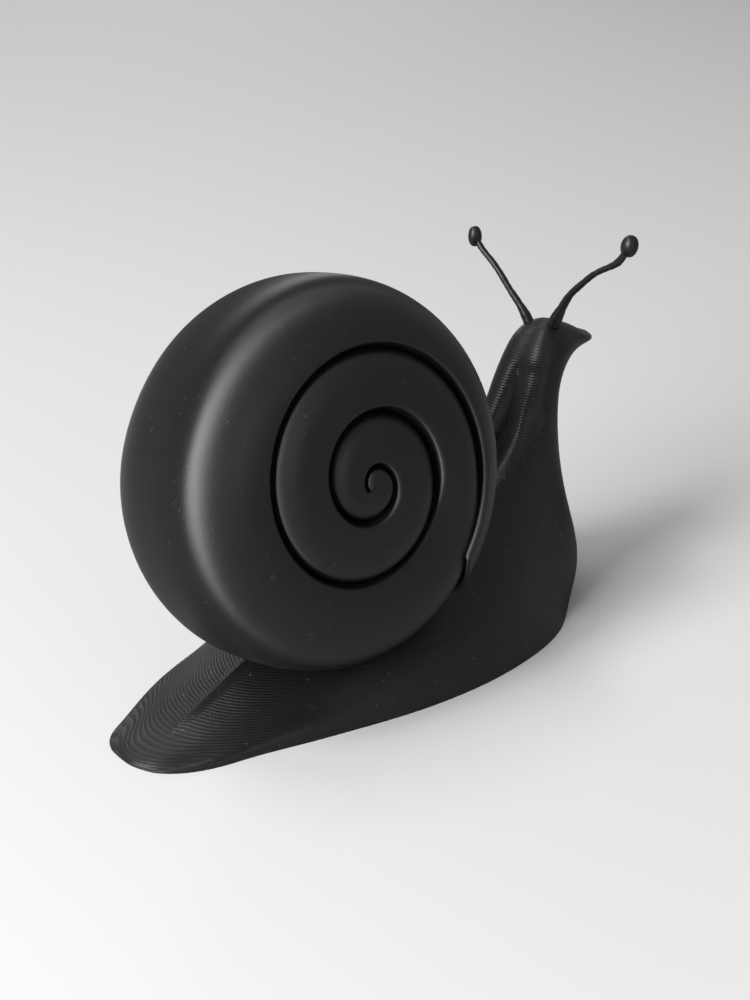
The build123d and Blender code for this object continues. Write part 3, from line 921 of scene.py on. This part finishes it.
class SNAIL_OT_shell(bpy.types.Operator):
    """Make the coiled shell by its rule and seat it"""
    bl_idname = "snail.make_shell"
    bl_label = "Shell"

    def execute(self, context):
        sizes = context.scene.snail_shell
        material = finish("smooth_black_plastic")
        tree = coil_tree("Coiled shell", HOOK_START - FULL_TURN)
        values = coil_values(sizes, material, sizes.steps_along, sizes.steps_around)
        mesh = made_by_nodes("shell_coil", tree, values)
        mesh.transform(shell_place(sizes))
        tidy_mesh(mesh, SHELL_MERGE)
        new_piece("shell_coil", mesh, "shell")
        return {"FINISHED"}


def seat_cutter(context, label, stretch, material):
    """A stretch of the shell's coil, grown by the seat's clearance, to be cut from the body."""
    shell = context.scene.snail_shell
    start, end = (radians(angle) for angle in stretch)
    tree = coil_tree("Seat " + label, start, end, context.scene.snail_body.seat_gap)
    mesh = made_by_nodes("seat_" + label, tree, coil_values(shell, material, *SEAT_STEPS))
    mesh.transform(shell_place(shell))
    tidy_mesh(mesh, COIL_MERGE)
    cutter = bpy.data.objects.new("seat_" + label, mesh)
    context.scene.collection.objects.link(cutter)
    return cutter


class SNAIL_OT_body(bpy.types.Operator):
    """Make the foot, neck and head, with the scoop in the nape and the shell's seat"""
    bl_idname = "snail.make_body"
    bl_label = "Body"

    def execute(self, context):
        sizes = context.scene.snail_body
        material = finish("layered_black_plastic")
        mesh = tidy_mesh(grid_mesh("snail_body", scoop(body_rings(sizes), sizes)))
        mesh.materials.append(material)
        work = bpy.data.objects.new("snail_body_work", mesh)
        context.scene.collection.objects.link(work)
        cutters = []
        for label, stretch in SEAT_STRETCHES.items():
            cutter = seat_cutter(context, label, stretch, material)
            cut = work.modifiers.new(label, "BOOLEAN")
            cut.operation = "DIFFERENCE"
            cut.solver = "EXACT"
            cut.object = cutter
            cutters.append(cutter)
        context.view_layer.update()
        made = bpy.data.meshes.new_from_object(work.evaluated_get(context.evaluated_depsgraph_get()))
        for each in (work, *cutters):
            bpy.data.objects.remove(each)
        tidy_mesh(made, crease=SHARP_EDGE)
        made.materials.clear()
        made.materials.append(material)
        new_piece("snail_body", made, "body")
        return {"FINISHED"}


def circle(sides, x, y):
    """Directions all round, from x towards y."""
    turns = np.linspace(0, FULL_TURN, sides + 1)[:-1, None]
    return np.cos(turns) * x + np.sin(turns) * y


def stalk_rings(crown, height, shares, diameter):
    """Rings along a stalk, from its root to its tip."""
    points = np.array([[crown, left * height, (1 + above) * height] for left, above, _ in shares])
    at, knots = spline(points)
    t = np.linspace(knots[0], knots[-1], STALK_RINGS)
    path = at(t)
    thick = np.interp(t, knots, [share for _, _, share in shares]) * diameter / 2
    fast, slow = STALK_WAVES
    thick = thick * (1 + STALK_UNEVENNESS * np.sin(t * fast) * np.sin(t * slow + 1))
    heading = np.gradient(path, axis=0)
    heading /= np.linalg.norm(heading, axis=1, keepdims=True)
    x = np.array([1.0, 0, 0])
    side = np.cross(heading, x)
    side /= np.linalg.norm(side, axis=1, keepdims=True)
    return path[:, None] + thick[:, None, None] * circle(STALK_SIDES, x, side[:, None])


def knob_rings(crown, height, shares, lean, width, length):
    """Rings up an egg-shaped knob, round its leaning middle line."""
    at, knots = spline([(x * width, z * length) for x, z in KNOB_OUTLINE_SHARES])
    outline = at(np.linspace(knots[0], knots[-1], KNOB_RINGS + 2))[1:-1]
    heading = np.array([0, lean, 1.0])
    heading /= np.linalg.norm(heading)
    x = np.array([1.0, 0, 0])
    y = np.cross(heading, x)
    middle = np.array([crown, shares[0] * height, (1 + shares[1]) * height])
    turns = np.linspace(0, FULL_TURN, KNOB_SIDES + 1)[:-1]
    lumps = 1 + KNOB_UNEVENNESS * np.sin(2 * turns + 0.7) * np.sin(3 * outline[:, 1:] / length)
    r = outline[:, :1] * lumps
    return middle + r[..., None] * circle(KNOB_SIDES, x, y) + outline[:, 1, None, None] * heading


class SNAIL_OT_eyes(bpy.types.Operator):
    """Make the two eye stalks and the knobs at their tips"""
    bl_idname = "snail.make_eyes"
    bl_label = "Eye stalks"

    def execute(self, context):
        body, sizes = context.scene.snail_body, context.scene.snail_eyes
        material = finish("strand_black_plastic")
        crown, height = (CROWN_SHARE - 0.5) * body.foot_length, body.head_height
        pieces = {
            "eye_stalk_left": stalk_rings(crown, height, LEFT_STALK_SHARES, sizes.left_diameter),
            "eye_stalk_right": stalk_rings(crown, height, RIGHT_STALK_SHARES, sizes.right_diameter),
            "eye_knob_left": knob_rings(
                crown, height, LEFT_KNOB_SHARES, LEFT_KNOB_LEAN,
                sizes.left_knob_width, sizes.left_knob_length),
            "eye_knob_right": knob_rings(
                crown, height, RIGHT_KNOB_SHARES, RIGHT_KNOB_LEAN,
                sizes.right_knob_width, sizes.right_knob_length),
        }
        for node, rings in pieces.items():
            mesh = tidy_mesh(grid_mesh("snail_" + node, rings))
            mesh.materials.append(material)
            new_piece("snail_" + node, mesh, node)
        for node in ("shell_pin_front", "shell_pin_rear"):
            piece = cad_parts[node]
            piece.data.materials.clear()
            piece.data.materials.append(material)
        return {"FINISHED"}


def direction(angles):
    """The direction at these angles in degrees, from +X towards +Y and above the floor."""
    around, above = (radians(angle) for angle in angles)
    level = math.cos(above)
    return Vector((math.cos(around) * level, math.sin(around) * level, math.sin(above)))


def soft_light(context, name, start, end, width, brightness):
    """A flat light that reaches from one direction to another, as seen from the snail."""
    distance = context.scene.snail_stage.distance
    data = bpy.data.lights.new(name, "AREA")
    data.shape = "RECTANGLE"
    first, last = direction(start) * distance, direction(end) * distance
    data.size = (last - first).length
    data.size_y = 2 * distance * math.tan(radians(width) / 2)
    data.energy = brightness * math.pi * data.size * data.size_y
    lamp = bpy.data.objects.new(name, data)
    context.scene.collection.objects.link(lamp)
    run = (last - first).normalized()
    back = (first + last).normalized()
    turn = Matrix((run, back.cross(run), back)).transposed().to_4x4()
    lamp.matrix_world = Matrix.Translation(Vector(LIGHT_TARGET) + (first + last) / 2) @ turn


class SNAIL_OT_stage(bpy.types.Operator):
    """Set the floor, the soft lights and the camera"""
    bl_idname = "snail.set_stage"
    bl_label = "Stage"

    def execute(self, context):
        values = context.scene.snail_stage
        mesh = bpy.data.meshes.new("floor")
        corners = [(x * FLOOR_REACH, y * FLOOR_REACH, 0) for x, y in ((-1, -1), (1, -1), (1, 1), (-1, 1))]
        mesh.from_pydata(corners, [], [(0, 1, 2, 3)])
        floor = bpy.data.objects.new("floor", mesh)
        context.scene.collection.objects.link(floor)
        mesh.materials.append(stage_material("pale_floor", values.floor_shade, values.floor_colour))

        for name, form in SOFT_LIGHTS.items():
            soft_light(context, name, *form)
        world = bpy.data.worlds.new("room")
        context.scene.world = world
        world.use_nodes = True
        sky = world.node_tree.nodes["Background"]
        sky.inputs["Color"].default_value = (*ROOM_COLOUR, 1)
        sky.inputs["Strength"].default_value = values.room

        data = bpy.data.cameras.new("camera")
        data.sensor_fit = "VERTICAL"
        data.sensor_height = 36
        data.lens = values.lens
        data.clip_start = 0.01
        camera = bpy.data.objects.new("camera", data)
        context.scene.collection.objects.link(camera)
        camera.location = values.camera_place
        camera.rotation_euler = (math.pi / 2 - values.camera_pitch, 0, -values.camera_heading)
        context.scene.camera = camera
        context.scene.view_settings.view_transform = "Standard"
        return {"FINISHED"}


class SNAIL_PT_panel(bpy.types.Panel):
    """Lists the snail's pieces and its stage"""
    bl_idname = "SNAIL_PT_panel"
    bl_label = "Snail"
    bl_space_type = "VIEW_3D"
    bl_region_type = "UI"
    bl_category = "Snail"

    def draw(self, context):
        for operator in (SNAIL_OT_shell, SNAIL_OT_body, SNAIL_OT_eyes, SNAIL_OT_stage):
            self.layout.operator(operator.bl_idname)


CLASSES = (
    SnailBodySizes, SnailShellSizes, SnailEyeSizes, SnailPlastic, SnailStage,
    SNAIL_OT_shell, SNAIL_OT_body, SNAIL_OT_eyes, SNAIL_OT_stage, SNAIL_PT_panel,
)
GROUPS = {
    "snail_body": SnailBodySizes, "snail_shell": SnailShellSizes, "snail_eyes": SnailEyeSizes,
    "snail_plastic": SnailPlastic, "snail_stage": SnailStage,
}


def register():
    for each in CLASSES:
        bpy.utils.register_class(each)
    for name, group in GROUPS.items():
        setattr(bpy.types.Scene, name, PointerProperty(type=group))


def unregister():
    for name in GROUPS:
        delattr(bpy.types.Scene, name)
    for each in reversed(CLASSES):
        bpy.utils.unregister_class(each)


def main():
    register()
    bpy.ops.snail.make_shell()
    bpy.ops.snail.make_body()
    bpy.ops.snail.make_eyes()
    bpy.ops.snail.set_stage()


if __name__ == "__main__":
    main()
